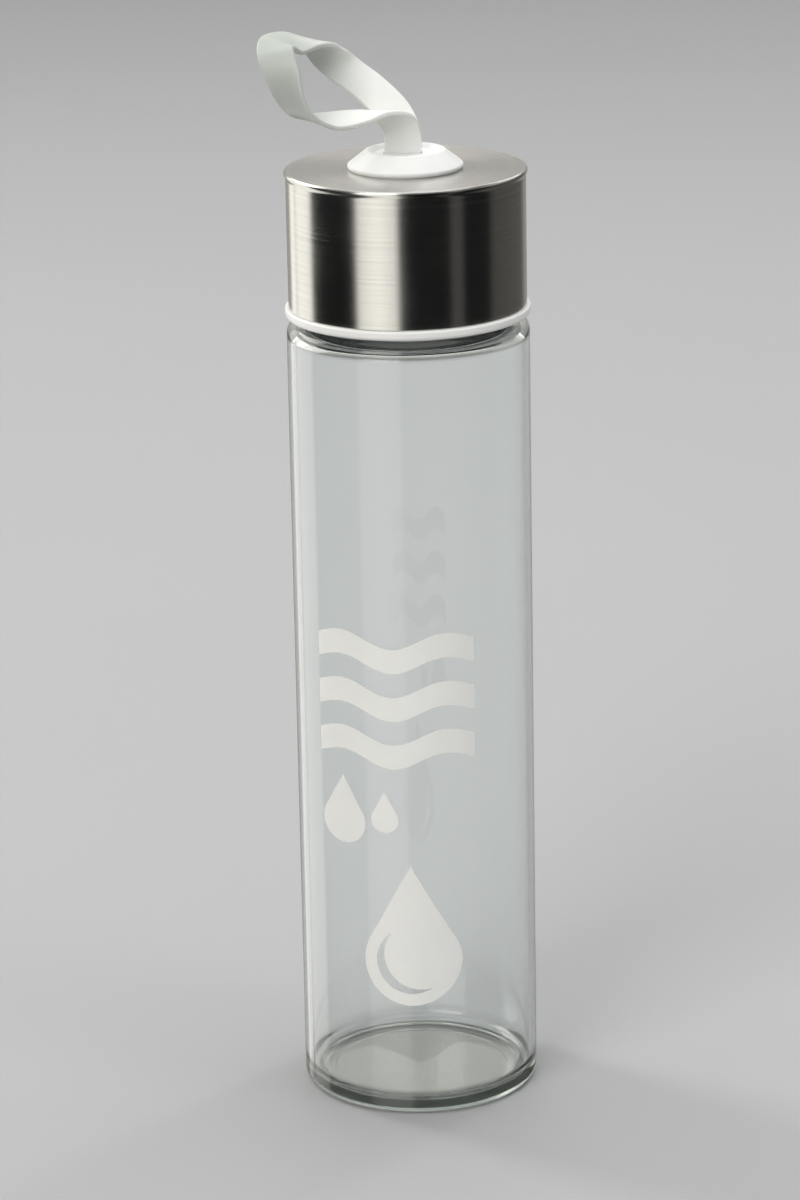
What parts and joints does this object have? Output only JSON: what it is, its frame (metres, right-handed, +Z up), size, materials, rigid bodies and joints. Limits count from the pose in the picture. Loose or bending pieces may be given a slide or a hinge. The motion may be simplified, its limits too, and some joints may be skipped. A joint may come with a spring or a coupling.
{
  "type": "glass water bottle",
  "caption": "Clear glass cylinder bottle with a flat foot, a screwed-on brushed steel lid with a white liner, and a soft silicone carry strap on the lid.",
  "frame": {"origin": "centre of the flat face that the bottle stands on", "axes": "+Z up along the bottle's axis, -Y towards the printed front, +X to the right as seen from the front"},
  "size_m": [0.0656, 0.0606, 0.2719],
  "materials": {
    "clear_glass": "clear polished borosilicate glass",
    "white_ink": "off-white screen-printed ink, satin",
    "brushed_steel": "stainless steel brushed round the lid",
    "white_liner": "moulded white polypropylene",
    "clear_silicone": "soft translucent silicone",
    "white_silicone": "soft white silicone, satin",
    "plain_steel": "plain rolled stainless steel",
    "milky_silicone": "soft milky translucent silicone"
  },
  "bodies": {
    "bottle": {"glass_bottle": "clear_glass", "printed_waves": "white_ink", "printed_drops": "white_ink"},
    "seal": {"lid_gasket": "clear_silicone"},
    "lid": {"lid_shell": "brushed_steel", "lid_liner": "white_liner"},
    "button": {"strap_button": "white_silicone", "strap_washer": "plain_steel", "strap_pin": "plain_steel", "strap_stem": "milky_silicone"},
    "strap": {"strap_loop": "milky_silicone"}
  },
  "joints": [
    {"name": "lid_lift", "type": "slide", "parent": "bottle", "child": "seal", "axis": [0, 0, 1], "range_m": [0, 0.035]},
    {"name": "lid_turn", "type": "hinge", "parent": "seal", "child": "lid", "pos_m": [0, 0, 0.204], "axis": [0, 0, 1], "range_deg": [0, 2520]},
    {"name": "button_swivel", "type": "hinge", "parent": "lid", "child": "button", "pos_m": [0, 0, 0.238], "axis": [0, 0, 1], "continuous": true},
    {"name": "strap_swing", "type": "hinge", "parent": "button", "child": "strap", "pos_m": [-0.0006, 0, 0.2466], "axis": [0, 1, 0], "range_deg": [-8, 85], "stiffness_Nm_per_rad": 0.003, "springref_deg": 5.16}
  ],
  "couplings": [
    {"joint": "lid_lift", "follows": "lid_turn", "m_per_rad": 0.00079577}
  ]
}
